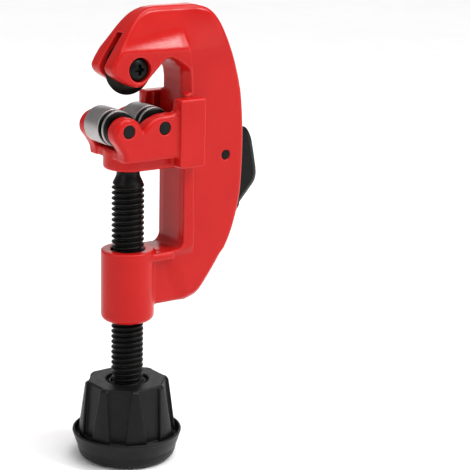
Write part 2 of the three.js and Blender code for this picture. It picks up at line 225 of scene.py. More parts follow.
# ---- feed screw ----
PITCH = 1.8
THREAD_DEPTH = 1.0
THREAD_LOW = 24.0
THREAD_HIGH = 96.6
THREAD_START = (24.0, 25.2)
THREAD_RUNOUT = (95.0, 91.6)
THREAD_AROUND = 72
THREAD_PER_TURN = 14
CREST_END = 0.16
ROOT_START = 0.86
FLANK = 0.70
FLANK_ROUNDING = 0.45
BLANK_R = 5.3
NECK_R = 3.75
NECK_TAPER = (91.8, 96.6)
NECK_TAPER_DEPTH = 1.55
STEM_R = 2.9
CLIP_GROOVE_R = 2.35
TAIL_R = 3.0
TAIL_SHOULDER = 16.0

# ---- retaining clip ----
CLIP_R = 3.5
CLIP_HALF = 1.08
CLIP_EAR_X = 4.2
CLIP_EAR_Y = 2.3
CLIP_EAR_R = 0.95
CLIP_HOLE_R = 0.4
CLIP_GAP_HALF = 1.5

# ---- mesh quality ----
FIELD_MARGIN = 1.2
# scales edge sharpness into the paint's lighter edges (thinner paint and painted highlight)
EDGE_BEND = 1.6
DIAGONAL = 0.7071
SHARP_ANGLE = math.radians(38)
THREAD_SHARP_ANGLE = math.radians(50)


# ---- distance fields: negative inside ----
def join(a, b, radius):
    """Union with a concave fillet."""
    u = np.maximum(radius - a, 0)
    v = np.maximum(radius - b, 0)
    return np.maximum(radius, np.minimum(a, b)) - np.sqrt(u * u + v * v)


def meet(a, b, radius):
    """Intersection with a rounded convex edge."""
    u = np.maximum(radius + a, 0)
    v = np.maximum(radius + b, 0)
    return np.minimum(-radius, np.maximum(a, b)) + np.sqrt(u * u + v * v)


def cut(a, b, radius):
    """Takes b away from a, with a rounded convex edge."""
    return meet(a, -b, radius)


def slab(value, low, high):
    return np.maximum(low - value, value - high)


def smoothstep(low, high, value):
    """Rises smoothly from 0 at low to 1 at high. It falls where low is the greater of the two."""
    t = np.clip((value - low) / (high - low), 0, 1)
    return t * t * (3 - 2 * t)


def curve(points, steps=8):
    """A smooth curve through the points (Catmull-Rom), without its first point."""
    p = np.array(points, float)
    ends = np.vstack([2 * p[0] - p[1], p, 2 * p[-1] - p[-2]])
    out = []
    for i in range(len(p) - 1):
        a, b, c, d = ends[i:i + 4]
        for k in range(1, steps + 1):
            t = k / steps
            out.append(0.5 * (2 * b + (c - a) * t + (2 * a - 5 * b + 4 * c - d) * t ** 2
                              + (3 * b - a - 3 * c + d) * t ** 3))
    return [tuple(q) for q in out]


def arc(cx, cz, radius, start, end, steps):
    """Points on an arc, angles in degrees from +X towards +Z."""
    angles = np.radians(np.linspace(start, end, steps))
    return [(cx + radius * math.cos(a), cz + radius * math.sin(a)) for a in angles]


def outline_distance(points, x, z):
    """Signed distance from a closed outline, negative inside, on the grid spanned by x and z."""
    p = np.array(points, np.float32)
    q = np.roll(p, -1, axis=0)
    x2, z2 = np.broadcast_arrays(x, z)
    nearest = np.full(x2.shape, 1e9, np.float32)
    inside = np.zeros(x2.shape, bool)
    for (ax, az), (bx, bz) in zip(p, q):
        ex, ez = bx - ax, bz - az
        length2 = ex * ex + ez * ez
        if length2 < 1e-9:
            continue
        t = np.clip(((x2 - ax) * ex + (z2 - az) * ez) / length2, 0, 1)
        dx = x2 - ax - t * ex
        dz = z2 - az - t * ez
        nearest = np.minimum(nearest, dx * dx + dz * dz)
        if az != bz:
            crosses = (az > z2) != (bz > z2)
            inside ^= crosses & (x2 < (bx - ax) * (z2 - az) / (bz - az) + ax)
    distance = np.sqrt(nearest)
    return np.where(inside, -distance, distance)


def rod_distance(x, z, cx, cz, radius):
    return np.sqrt((x - cx) ** 2 + (z - cz) ** 2) - radius


# ---- meshes ----
def sample(values, p):
    """Trilinear reading of a grid at fractional index positions."""
    limit = np.array(values.shape) - 1.001
    p = np.clip(p, 0, limit)
    i = p.astype(int)
    f = p - i
    out = 0
    for dx in (0, 1):
        for dy in (0, 1):
            for dz in (0, 1):
                weight = (np.abs(1 - dx - f[:, 0]) * np.abs(1 - dy - f[:, 1])
                          * np.abs(1 - dz - f[:, 2]))
                out = out + weight * values[i[:, 0] + dx, i[:, 1] + dy, i[:, 2] + dz]
    return out


def point_values(mesh, name, values):
    """Stores one number a vertex, which a material reads by this name."""
    layer = mesh.attributes.new(name, "FLOAT", "POINT")
    layer.data.foreach_set("value", np.asarray(values, np.float32))


def mesh_object(name, points, faces, normals=None, edge=None):
    mesh = bpy.data.meshes.new(name)
    mesh.from_pydata(points, [], faces)
    mesh.polygons.foreach_set("use_smooth", np.ones(len(mesh.polygons), bool))
    if edge is not None:
        point_values(mesh, "edge_wear_and_highlight", edge)
    if normals is not None:
        mesh.normals_split_custom_set_from_vertices(normals)
    mesh.update()
    piece = bpy.data.objects.new(name, mesh)
    bpy.context.scene.collection.objects.link(piece)
    return piece


def cast(name, field, node, voxel, margin=FIELD_MARGIN):
    """Meshes the zero surface of field(x, y, z) in a node's box, with normals and edge sharpness
    taken from the field."""
    low, high = node_box(node)
    low, high = low - margin, high + margin
    axes = [np.arange(low[i], high[i] + voxel, voxel, dtype=np.float32) for i in range(3)]
    x, y, z = axes[0][:, None, None], axes[1][None, :, None], axes[2][None, None, :]
    values = np.broadcast_to(field(x, y, z), [len(a) for a in axes])
    d = np.ascontiguousarray(values, dtype=np.float32)
    band = 3 * voxel
    grid = openvdb.FloatGrid(band)
    grid.copyFromArray(np.clip(d, -band, band))
    points, quads = grid.convertToQuads(0.0)
    gradient = [np.gradient(d, voxel, axis=i) for i in range(3)]
    index = np.array(points, float)
    # two Newton steps bring each vertex onto the surface
    for _ in range(2):
        slope = np.stack([sample(g, index) for g in gradient], 1)
        size2 = np.maximum((slope ** 2).sum(1), 0.05)
        step = sample(d, index) / size2
        index -= np.clip(step[:, None] * slope, -voxel, voxel) / voxel
    normals = np.stack([sample(g, index) for g in gradient], 1)
    normals /= np.maximum(np.linalg.norm(normals, axis=1, keepdims=True), 1e-6)
    # edge sharpness for the paint's lighter edges, which are partly thinner paint and partly a
    # painted highlight
    bend = sum(np.gradient(gradient[i], voxel, axis=i) for i in range(3))
    edge = np.clip(sample(bend, index) / EDGE_BEND, -1, 1)
    world = (index * voxel + [a[0] for a in axes]) * MM
    a, b, c = (world[quads[:, k]] for k in range(3))
    facing = (np.cross(b - a, c - a) * normals[quads[:, 0]]).sum()
    order = quads if facing > 0 else quads[:, ::-1]
    return mesh_object(name, world, order.tolist(), normals, edge)


def rounded(profile, radius=0.25):
    """A profile with each inner corner replaced by a small arc-like curve."""
    steps = 3
    p = [np.array(q, float) for q in profile]
    out = [tuple(p[0])]
    for before, here, after in zip(p, p[1:], p[2:]):
        lead, trail = before - here, after - here
        reach = min(radius, np.linalg.norm(lead) * 0.45, np.linalg.norm(trail) * 0.45)
        a = here + lead / np.linalg.norm(lead) * reach
        b = here + trail / np.linalg.norm(trail) * reach
        for k in range(steps + 1):
            t = k / steps
            out.append(tuple((1 - t) ** 2 * a + 2 * t * (1 - t) * here + t ** 2 * b))
    out.append(tuple(p[-1]))
    return out


def turned(name, profile, axis=UP, at=(0, 0, 0), segments=96, closed=False):
    """Sweeps a (radius, height) profile round an axis; a closed profile makes a ring."""
    angles = np.linspace(0, 2 * math.pi, segments, endpoint=False)
    points, faces, rings = [], [], []
    for radius, height in profile:
        if radius < 1e-6:
            rings.append([len(points)] * segments)
            points.append((0, 0, height))
            continue
        rings.append(list(range(len(points), len(points) + segments)))
        points += [(radius * math.cos(a), radius * math.sin(a), height) for a in angles]
    pairs = list(zip(rings, rings[1:]))
    if closed:
        pairs.append((rings[-1], rings[0]))
    for lower, upper in pairs:
        for i in range(segments):
            j = (i + 1) % segments
            face = [lower[i], lower[j], upper[j], upper[i]]
            unique = list(dict.fromkeys(face))
            if len(unique) > 2:
                faces.append(unique)
    p = np.array(points, float)
    if axis is ALONG_Y:
        p = np.stack([p[:, 0], p[:, 2], -p[:, 1]], 1)
    p = (p + np.array(at, float)) * MM
    piece = mesh_object(name, p, faces)
    piece.data.set_sharp_from_angle(angle=SHARP_ANGLE)
    return piece


# ---- materials ----
NOISE_ROUGHNESS = 0.55
EDGE_NOISE = 0.5


class Nodes:
    """A small helper: makes nodes and links in one material's tree."""

    def __init__(self, name):
        self.material = bpy.data.materials.new(name)
        self.material.use_nodes = True
        self.tree = self.material.node_tree
        self.shader = self.tree.nodes["Principled BSDF"]

    def add(self, kind, **values):
        made = self.tree.nodes.new(kind)
        for key, value in values.items():
            if key in made.inputs:
                made.inputs[key].default_value = value
            else:
                setattr(made, key, value)
        return made

    def link(self, source, target):
        self.tree.links.new(source, target)

    def noise(self, scale, detail, stretch=None):
        made = self.add("ShaderNodeTexNoise", Scale=scale, Detail=detail, Roughness=NOISE_ROUGHNESS)
        source = self.add("ShaderNodeTexCoord").outputs["Object"]
        if stretch is not None:
            mapping = self.add("ShaderNodeMapping", Scale=stretch)
            self.link(source, mapping.inputs["Vector"])
            source = mapping.outputs["Vector"]
        self.link(source, made.inputs["Vector"])
        return made.outputs["Fac"]

    def remap(self, source, between, to):
        """Maps the range between linearly onto the range to, and clamps."""
        made = self.add("ShaderNodeMapRange")
        made.inputs["From Min"].default_value, made.inputs["From Max"].default_value = between
        made.inputs["To Min"].default_value, made.inputs["To Max"].default_value = to
        self.link(source, made.inputs["Value"])
        return made.outputs["Result"]

    def ramp(self, source, dark, light, between=(0.3, 0.7)):
        """Blends from one colour to the other over the range between."""
        made = self.add("ShaderNodeValToRGB")
        for element, position, colour in zip(made.color_ramp.elements, between, (dark, light)):
            element.position = position
            element.color = (*colour, 1)
        self.link(source, made.inputs["Fac"])
        return made.outputs["Color"]

    def mix(self, factor, base, colour):
        """Blends from the linked base to one colour."""
        made = self.add("ShaderNodeMix", data_type="RGBA")
        factor_socket, base_socket, colour_socket = (made.inputs[i] for i in (0, 6, 7))
        self.link(factor, factor_socket)
        self.link(base, base_socket)
        colour_socket.default_value = (*colour, 1)
        return made.outputs[2]

    def weighted(self, a, b, weight):
        """a + b * weight"""
        made = self.add("ShaderNodeMath", operation="MULTIPLY_ADD")
        self.link(b, made.inputs[0])
        made.inputs[1].default_value = weight
        self.link(a, made.inputs[2])
        return made.outputs[0]

    def attribute(self, name):
        return self.add("ShaderNodeAttribute", attribute_name=name).outputs["Fac"]

    def edges(self, low, high):
        """The casting's convex edges, broken up by a fine noise that averages a half. The red paint
        lightens them, partly as thinner paint and partly as a painted highlight.
        """
        fine = self.noise(scale=900, detail=3)
        broken = self.weighted(self.attribute("edge_wear_and_highlight"), fine, EDGE_NOISE)
        offset = EDGE_NOISE / 2
        return self.remap(broken, (low + offset, high + offset), (0, 1))

    def bump(self, height, strength, distance):
        made = self.add("ShaderNodeBump", Strength=strength, Distance=distance)
        self.link(height, made.inputs["Height"])
        self.link(made.outputs["Normal"], self.shader.inputs["Normal"])

    def finish(self, colour, roughness, **values):
        self.link(colour, self.shader.inputs["Base Color"])
        self.link(roughness, self.shader.inputs["Roughness"])
        for key, value in values.items():
            self.shader.inputs[key].default_value = value
        return self.material


def red_paint():
    """Gloss paint with a slow drift of shade, lighter on the casting's edges: partly thinner paint,
    partly a painted highlight.
    """
    n = Nodes("red_paint")
    base = n.ramp(n.noise(scale=55, detail=3), (0.430, 0.0065, 0.0055), (0.480, 0.0095, 0.0080))
    # painted highlight: convex edges mixed towards a lighter red, partly thinner paint and partly a
    # painted highlight
    thin_paint_and_highlight = n.mix(n.edges(0.55, 1.5), base, (0.60, 0.036, 0.033))
    rough = n.remap(n.noise(scale=160, detail=2), (0.2, 0.8), (0.22, 0.27))
    n.bump(n.noise(scale=520, detail=2), strength=0.10, distance=0.0003)
    return n.finish(thin_paint_and_highlight, rough, **{"Specular IOR Level": 0.17})


def black_oxide():
    """Oiled black steel with a fine, slightly uneven grain."""
    n = Nodes("black_oxide")
    base = n.ramp(n.noise(scale=300, detail=5), (0.002, 0.002, 0.002), (0.006, 0.006, 0.0055))
    rough = n.remap(n.noise(scale=900, detail=4), (0.25, 0.75), (0.26, 0.42))
    n.bump(n.noise(scale=2400, detail=3), strength=0.16, distance=0.0003)
    return n.finish(base, rough, **{"Specular IOR Level": 0.12})


def black_plastic():
    """Moulded plastic with the fine spark-eroded grain of its mould."""
    n = Nodes("black_plastic")
    base = n.ramp(n.noise(scale=120, detail=4), (0.0035, 0.0035, 0.004), (0.006, 0.006, 0.0066))
    rough = n.remap(n.noise(scale=700, detail=4), (0.25, 0.75), (0.36, 0.47))
    n.bump(n.noise(scale=3200, detail=2), strength=0.14, distance=0.0003)
    return n.finish(base, rough, **{"Specular IOR Level": 0.17})


def turned_steel(name, dark, light, rough_range):
    """Steel with the fine rings that a lathe tool leaves round the Y axis."""
    n = Nodes(name)
    rings = n.noise(scale=1.0, detail=2, stretch=(60, 9000, 60))
    stained = n.weighted(rings, n.noise(scale=160, detail=4), 0.8)
    base = n.mix(n.attribute("recess"), n.ramp(stained, dark, light, (0.55, 1.15)),
                 (0.008, 0.008, 0.008))
    rough = n.remap(rings, (0.3, 0.7), rough_range)
    n.bump(rings, strength=0.25, distance=0.00012)
    return n.finish(base, rough, **{"Metallic": 1.0})


def bright_steel():
    """Zinc-plated steel."""
    n = Nodes("bright_steel")
    base = n.ramp(n.noise(scale=240, detail=4), (0.50, 0.50, 0.50), (0.66, 0.66, 0.64))
    rough = n.remap(n.noise(scale=800, detail=3), (0.3, 0.7), (0.22, 0.38))
    n.bump(n.noise(scale=2600, detail=3), strength=0.1, distance=0.0002)
    return n.finish(base, rough, **{"Metallic": 1.0})


SLOTS = {
    "red_paint": red_paint(),
    "black_oxide": black_oxide(),
    "black_plastic": black_plastic(),
    "satin_steel": turned_steel("satin_steel", (0.25, 0.232, 0.228), (0.44, 0.415, 0.41),
                                (0.30, 0.42)),
    "tool_steel": turned_steel("tool_steel", (0.006, 0.006, 0.005), (0.018, 0.018, 0.015),
                               (0.34, 0.46)),
    "bright_steel": bright_steel(),
}


def dress(piece, body, node, slot):
    """Gives a piece its body, the CAD node that it stands for and its material slot."""
    piece.data.materials.append(SLOTS[slot])
    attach(piece, body)
    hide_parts(node)


# ---- frame casting: outlines in the X-Z plane ----
BACK = [(24.1, 53.7), (28.1, 58.1), (33.7, 66.1), (37.7, 74.2), (40.5, 85), (41.35, 97),
        (41.25, 110), (39.95, 122.2), (37.35, 131.3), (34, 139.4), (31, 144.9), (27.7, 148.2),
        (23.4, FRAME_TOP)]
NOSE = [(9, FRAME_TOP), (5.2, 149.1), (1.6, 147.2), (-2.0, 143.6), (-5.6, 138.6), (-9.0, 133.5)]
EAR_FOOT = [(-9.0, 133.5), (-9.9, 131.2), (-8.6, 128.9), (-4.4, 126.3), (-1.3, 125.1),
            (1.4, 125.2), (3.4, 126.9)]
ARCH = [(8.7, 132.2), (10.0, 133.2), (11.8, 133.5), (14.6, 132.0), (16.2, 129.6),
        (RAIL_X, 126.0)]
WINDOW_FOOT = ([(RAIL_X, ARM_TOP + WINDOW_R)]
               + arc(RAIL_X - WINDOW_R, ARM_TOP + WINDOW_R, WINDOW_R, 0, -90, 8))
BORDER_BACK = [(21.0, 72.6), (20.5, 96), (19.9, 122.6), (19.3, 131.4), (18.6, 136.6),
               (17.9, 141.4)]


def frame_outline():
    start = (ARM_END_X, ARM_BOTTOM)
    return ([(0, ARM_BOTTOM), start] + curve([start] + BACK)
            + [NOSE[0]] + curve(NOSE) + curve(EAR_FOOT) + [ARCH[0]] + curve(ARCH)
            + WINDOW_FOOT + [(0, ARM_TOP)])


def border_outline():
    """The raised border along the window: the ear, the arch, the rail and the arm's upper strip."""
    low = ARM_TOP - STRIP
    start = (ARM_END_X, STRIP_FOOT)
    return ([(2, low), (STRIP_FRONT_X, low), (13.9, low - 3), (14.2, STRIP_FOOT), start]
            + curve([start] + BORDER_BACK)
            + [(4, 145.0), (-3.5, 141.4)] + curve([(-3.5, 141.4), (-6.6, 137.0), (-9.0, 133.5)])
            + curve(EAR_FOOT) + [ARCH[0]] + curve(ARCH) + WINDOW_FOOT + [(2, ARM_TOP)])


def web_field(profile, x, side, z):
    """The casting's wall: lean at the head, slightly hollow at the arm."""
    lean = 1 - smoothstep(14, 38, x)
    head = np.clip(FRAME_TOP - CROWN - z, 0, 40) * HEAD_LEAN + HEAD_HALF
    half = WEB_HALF + (np.minimum(head, WEB_HALF) - WEB_HALF) * lean
    hollow = smoothstep(18.5, 12, x + 0.35 * (z - 60)) * smoothstep(80, 70, z)
    edge = WEB_EDGE - 0.9 * smoothstep(8, 0, x) * (z > HEAD_LOW)
    return meet(profile, side - half + ARM_HOLLOW * hollow, edge)


def border_field(raised, x, side, z):
    """The raised border, closed at the top by its sloping bright ledge."""
    ledge = (z - LEDGE_Z - LEDGE_SLOPE * (raised - side)) / 2.0
    border = meet(outline_distance(border_outline(), x, z), side - raised, 0.8)
    return meet(border, ledge, 0.35)


def border_height(x, z):
    """Half the border's thickness: tapered at the ear, fading out below the window's corner."""
    ear = NOSE_HALF + (RAIL_HALF - NOSE_HALF) * np.clip((x + 7) / 22.5, 0, 1)
    raised = np.where(z > WINDOW_MIDDLE, ear, RAIL_HALF)
    return raised - 2.8 * smoothstep(71.5, 65.5, z) * smoothstep(13.2, 14.0, x)


def window_chamfer(x, z):
    """Width of the inner edge's chamfer: broad on the rail above the carriage, small elsewhere."""
    rail = 2.1 * np.clip((z - 121.2) / 0.9, 0, 1) * smoothstep(133, 128, z) * smoothstep(13, 16, x)
    arch = 0.5 * smoothstep(122, 126, z) * smoothstep(12, 8, x)
    return RAIL_CHAMFER + rail + arch - 3 * smoothstep(0, -3, x)


def frame_field(x, y, z):
    side = np.abs(y)
    around = np.sqrt(x * x + y * y)
    profile = outline_distance(frame_outline(), x, z)
    raised = border_height(x, z)
    body = join(web_field(profile, x, side, z), border_field(raised, x, side, z), 0.5)
    body = meet(body, (profile + side - raised + window_chamfer(x, z)) * DIAGONAL, 0.35)
    # barrel
    barrel = meet(around - BARREL_R, BARREL_LOW - z, 2.1)
    barrel = meet(barrel, z - BARREL_HIGH, 0.55)
    body = join(body, barrel, 0.45)
    body = cut(body, np.maximum(around - (SCREW_R + SCREW_GAP), z - BORE_TOP), 0.45)
    # head: wheel slot, axle hole and counterbore
    slot = ([(SLOT_FRONT_X, SLOT_LOW), (SLOT_R, SLOT_LOW), (SLOT_R, WHEEL_Z)]
            + arc(0, WHEEL_Z, SLOT_R, 0, 84, 20) + [(-1, SLOT_TOP), (SLOT_FRONT_X, SLOT_TOP)])
    body = cut(body, np.maximum(outline_distance(slot, x, z), side - SLOT_HALF), 0.35)
    body = cut(body, rod_distance(x, z, 0, WHEEL_Z, AXLE_R + AXLE_GAP), 0.2)
    counterbore = np.maximum(rod_distance(x, z, 0, WHEEL_Z, COUNTERBORE_R), y - COUNTERBORE_Y)
    body = cut(body, counterbore, 0.35)
    # spine: reamer slot and pin hole
    body = cut(body, reamer_room(x, side, z), 0.4)
    body = cut(body, rod_distance(x, z, PIVOT_X, PIVOT_Z, REAMER_PIN_R + AXLE_GAP), 0.25)
    # the small witness step where the arm's strip meets the rail
    step = np.maximum(slab(x, *WITNESS_X), slab(z, *WITNESS_Z))
    return cut(body, np.maximum(step, WITNESS_HALF - side), 0.3)


def reamer_outline(grow=0.0):
    top = [(30.2 - grow, 101 + grow), (31.6 - grow, 104.6 + grow), (35.5, 106.4 + grow)]
    back = [(43.6, 107.9 + grow), (46.6 + grow, 106.8 + grow), (48.7 + grow, 103.5),
            (49.8 + grow, 99.2)]
    belly = [(51.1 + grow, 92.6), (51.2 + grow, 90.2), (50.4 + grow, 87.8), (48.0 + grow, 85.0)]
    tip = [(43.7 + grow, 80.3), (37.4 + grow, 70.9 - grow), (36 - grow, 70.9 - grow),
           (33.6 - grow, 84)]
    return ([top[0]] + curve(top) + [back[0]] + curve(back) + [belly[0]] + curve(belly) + tip)


def reamer_room(x, side, z):
    """The slot in the spine: the folded blade's outline, and what its heel sweeps."""
    folded = outline_distance(reamer_outline(REAMER_ROOM), x, z)
    swing = [(PIVOT_X - 8.4, PIVOT_Z - 4), (PIVOT_X + 14, PIVOT_Z - 4),
             (PIVOT_X + 14, PIVOT_Z + 20), (PIVOT_X - 2, PIVOT_Z + 20),
             (PIVOT_X - 8.4, PIVOT_Z + 13)]
    room = np.minimum(folded, outline_distance(swing, x, z))
    return np.maximum(room, side - REAMER_SLOT_HALF)


def blade_field(x, y, z):
    side = np.abs(y)
    profile = outline_distance(reamer_outline(), x, z)
    body = meet(profile, side - REAMER_HALF, 0.18)
    # ground bevels along the blade's outer edge
    ground = (side + BEVEL_SLOPE * (profile + BEVEL_WIDTH) - REAMER_HALF) * BEVEL_SCALE
    body = meet(body, np.where(x > BEVEL_FROM_X, ground, -1), 0.1)
    return cut(body, rod_distance(x, z, PIVOT_X, PIVOT_Z, BLADE_HOLE_R), 0.12)


# ---- carriage casting ----
def ear_outline():
    rise = [(PLATE_X + 1, 120.2), (12.0, 119.6), (11.3, 117.4), (10.2, 116.6), (8.3, 116.4)]
    rear = [(8.3, 116.4), (5.6, 116.2), (2.8, 115.3), (0.3, 113.8), (-1.5, 112.0)]
    front = [(-1.5, 112.0), (-2.4, 114.2), (-4.4, 115.8), (-7.0, 116.4), (-9.9, 115.3),
             (-11.8, 112.8), (-11.7, 109.9), (-9.8, 107.2), (-8.3, 104.7),
             (EAR_FRONT_X, EAR_BOTTOM)]
    return ([(EAR_FRONT_X, EAR_BOTTOM), (PLATE_X + 1, EAR_BOTTOM), rise[0]]
            + curve(rise) + curve(rear) + curve(front))


def carriage_field(x, y, z):
    side = np.abs(y)
    around = np.sqrt(x * x + y * y)
    ear2d = outline_distance(ear_outline(), x, z)
    ears = meet(meet(ear2d, side - EAR_OUT, 1.5), EAR_IN - side, 0.3)
    floor = meet(slab(x, EAR_FRONT_X, PLATE_X + 2), side - (EAR_OUT - 0.2), 1.2)
    floor = meet(floor, slab(z, EAR_BOTTOM, BASE_TOP), 0.6)
    straight = np.maximum(side - BOSS_R, -x)
    plan = np.minimum(around - BOSS_R, np.maximum(straight, x - (RAIL_X - 0.4)))
    boss = meet(plan, slab(z, BOSS_BOTTOM, BASE_TOP), 1.1)
    plates = meet(slab(x, PLATE_X, PLATE_BACK), side - PLATE_OUT, PLATE_EDGE)
    plates = meet(plates, slab(z, PLATE_LOW, PLATE_HIGH), PLATE_EDGE)
    body = join(join(ears, floor, 0.4), boss, 0.2)
    body = join(body, plates, 0.8)
    # the rail's way through, and the space between the plates above their low wall
    rail = np.maximum(side - PLATE_IN, (RAIL_X - 0.3) - x)
    between = np.maximum(side - PLATE_IN, np.maximum(LOW_WALL_TOP - z, (PLATE_X - 1.5) - x))
    body = cut(body, np.minimum(rail, between), 0.5)
    rib = np.maximum(slab(x, *RIB_X), slab(side, PLATE_IN - 0.8, PLATE_IN + 1))
    body = join(body, np.maximum(rib, slab(z, LOW_WALL_TOP - 1, PLATE_HIGH - 0.6)), 0.3)
    for centre in (-ROLLER_X, ROLLER_X):
        body = cut(body, rod_distance(x, z, centre, ROLLER_Z, PIN_R + AXLE_GAP), 0.25)
    rear_room = rod_distance(x, z, ROLLER_X, ROLLER_Z, ROLLER_R + ROLLER_GAP)
    body = cut(body, np.maximum(rear_room, side - EAR_IN), 0.3)
    body = cut(body, around - TIP_HOLE_R, 0.2)
    return cut(body, np.maximum(around - JOURNAL_R, z - JOURNAL_TOP), 0.3)


# ---- knob moulding ----
def knob_field(x, y, z):
    around = np.sqrt(x * x + y * y)
    slope = (CONE_LOW_R - CONE_HIGH_R) / (CONE_HIGH - CONE_LOW)
    cone = (around - (CONE_LOW_R - slope * (z - CONE_LOW))) / math.hypot(1, slope)
    body = meet(np.maximum(cone, KNOB_FOOT - z), z - KNOB_TOP, KNOB_EDGE)
    for i in range(FLUTES):
        angle = FLUTE_PHASE + i * 2 * math.pi / FLUTES
        out = x * math.cos(angle) + y * math.sin(angle)
        across = np.abs(y * math.cos(angle) - x * math.sin(angle))
        floor = FLUTE_FLOOR - FLUTE_LEAN * (z - CONE_LOW)
        wall = FLUTE_HALF + FLUTE_SPREAD * (z - CONE_LOW) / (KNOB_TOP - CONE_LOW)
        body = cut(body, np.maximum(floor - out, across - wall), 0.45)
    body = np.minimum(body, np.maximum(around - SKIRT_R, slab(z, *SKIRT_Z)))
    # the ring groove, the sunk collar round the screw, and the store below
    ring = np.maximum(np.abs(around - RING_R) - RING_HALF, RING_FLOOR - z)
    body = cut(body, ring, 0.25)
    body = cut(body, np.maximum(around - COLLAR_R, KNOB_TOP - COLLAR_DEPTH - z), 0.15)
    body = cut(body, around - (SCREW_R + 0.1), 0.3)
    return cut(body, np.maximum(around - STORE_R, z - STORE_TOP), 0.3)


def end_cap():
    """The cup: its rolled outer wall and lip, then inside the ring and the peg for the wheel."""
    foot = [(12.9, 0), (14.6, 0.3), (15.8, 1.3), (16.35, 2.8), (16.5, 4.0)]
    lip = [(16.5, 4.0), (17.2, 5.9), (17.85, 8.0), (CUP_R, 9.0), (CUP_R - 0.25, 9.45),
           (CUP_R - 0.75, 9.3), (16.9, 7.9), (16.3, 7.25)]
    inside = [(CUP_WALL_R, 7.2), (CUP_WALL_R, CUP_FLOOR), (9.6, CUP_FLOOR), (9.6, 3.6),
              (8.6, 3.6), (8.6, CUP_FLOOR), (1.97, CUP_FLOOR), (1.97, 6.6), (1.57, 7.1),
              (0, 7.1)]
    profile = [(0, 0), (12.9, 0)] + curve(foot, 5) + curve(lip, 5) + inside
    return turned("end_cap_cup", profile, segments=128)


# ---- turned pieces ----
def roller(name, x):
    shoulder = ROLLER_R - SHOULDER_DROP
    rib = ROLLER_R - GROOVE_RIB_DROP
    floor = ROLLER_R - GROOVE_DEPTH
    low, high = GROOVE_Y
    profile = rounded([
        (ROLLER_BORE, -ROLLER_HALF), (shoulder, -ROLLER_HALF), (shoulder, SHOULDER_Y),
        (rib, SHOULDER_Y), (rib, low), (floor, low), (floor, high), (ROLLER_R, high),
        (ROLLER_R, ROLLER_HALF), (ROLLER_BORE, ROLLER_HALF)], 0.3)
    piece = turned(name, profile, ALONG_Y, (x, 0, ROLLER_Z), closed=True)
    depth = np.array([ROLLER_R - math.hypot(v.co.x / MM - x, v.co.z / MM - ROLLER_Z)
                      for v in piece.data.vertices])
    point_values(piece.data, "recess", np.clip((depth - 0.3) / 0.3, 0, 1))
    return piece


def pin(name, radius, half, x, z):
    profile = rounded([(0, -half), (radius, -half), (radius, half), (0, half)], 0.35)
    return turned(name, profile, ALONG_Y, (x, 0, z), segments=64)


def wheel(name, axis, at):
    edge = WHEEL_R - WHEEL_BEVEL
    half = [(WHEEL_BORE, WHEEL_HUB_HALF), (WHEEL_HUB_R, WHEEL_HUB_HALF),
            (WHEEL_WEB_R, WHEEL_WEB_HALF), (edge, WHEEL_WEB_HALF), (WHEEL_R, WHEEL_EDGE_HALF)]
    profile = [(radius, -height) for radius, height in half] + half[::-1]
    return turned(name, rounded(profile, 0.15), axis, at, 128, closed=True)


def washer(node, body, bore, axis):
    """A flat ring as wide and as thick as its node's box; bore is its hole's radius."""
    low, high = node_box(node)
    centre = (low + high) / 2
    thick = (high - low)[1 if axis is ALONG_Y else 2] / 2
    outer = (high - low)[0] / 2
    profile = rounded([(bore, -thick), (outer, -thick), (outer, thick), (bore, thick)], 0.08)
    dress(turned(node + "_ring", profile, axis, centre, closed=True), body, node, "bright_steel")


def knob_nut():
    """A hexagon nut: six segments, with its corners taken off at both faces."""
    low, high = (corner[2] for corner in node_box("knob_nut"))
    bore, chamfer_r, corner_r, chamfer = 3.08, 5.0, 5.5, 0.4
    profile = rounded([(bore, low), (chamfer_r, low), (corner_r, low + chamfer),
                       (corner_r, high - chamfer), (chamfer_r, high), (bore, high)], 0.1)
    return turned("knob_nut_hex", profile, segments=6, closed=True)


def wheel_screw_field(x, y, z):
    """Domed cross-recess head in front of the ear's counterbore, with the axle behind it."""
    radial = rod_distance(x, z, 0, WHEEL_Z, 0)
    dome = np.sqrt(radial ** 2 + (y - (HEAD_FRONT_Y + DOME_BACK)) ** 2) - DOME_R
    head = meet(meet(radial - HEAD_R, y - HEAD_FRONT_Y, 0.2), dome, 0.35)
    shank = meet(radial - AXLE_R, slab(y, HEAD_FRONT_Y - 0.5, SHANK_END_Y), 0.3)
    depth = y - (HEAD_FRONT_Y - 0.4)
    u, v = np.abs(x), np.abs(z - WHEEL_Z)
    taper = CROSS_TAPER * (y - (HEAD_FRONT_Y - 2.4))
    arm = CROSS_ARM - taper
    reach = CROSS_REACH - 3.0 * taper
    cross = np.minimum(np.maximum(u - arm, v - reach), np.maximum(v - arm, u - reach))
    return cut(np.minimum(head, shank), np.maximum(cross, depth), 0.12)


def thread_radii(angles, z):
    """The thread's radius at each angle of one level, fading into the plain neck and the knob."""
    phase = (z / PITCH - angles / (2 * math.pi)) % 1.0
    sunk = (np.clip(np.abs(phase - 0.5) * 2, CREST_END, ROOT_START) - CREST_END) / FLANK
    sunk = sunk * sunk * (3 - 2 * sunk) * FLANK_ROUNDING + sunk * (1 - FLANK_ROUNDING)
    outer = BLANK_R - NECK_TAPER_DEPTH * smoothstep(*NECK_TAPER, z)
    cutting = float(smoothstep(*THREAD_START, z) * smoothstep(*THREAD_RUNOUT, z))
    radii = np.minimum(outer, SCREW_R - THREAD_DEPTH * sunk * cutting)
    return np.maximum(radii, NECK_R)


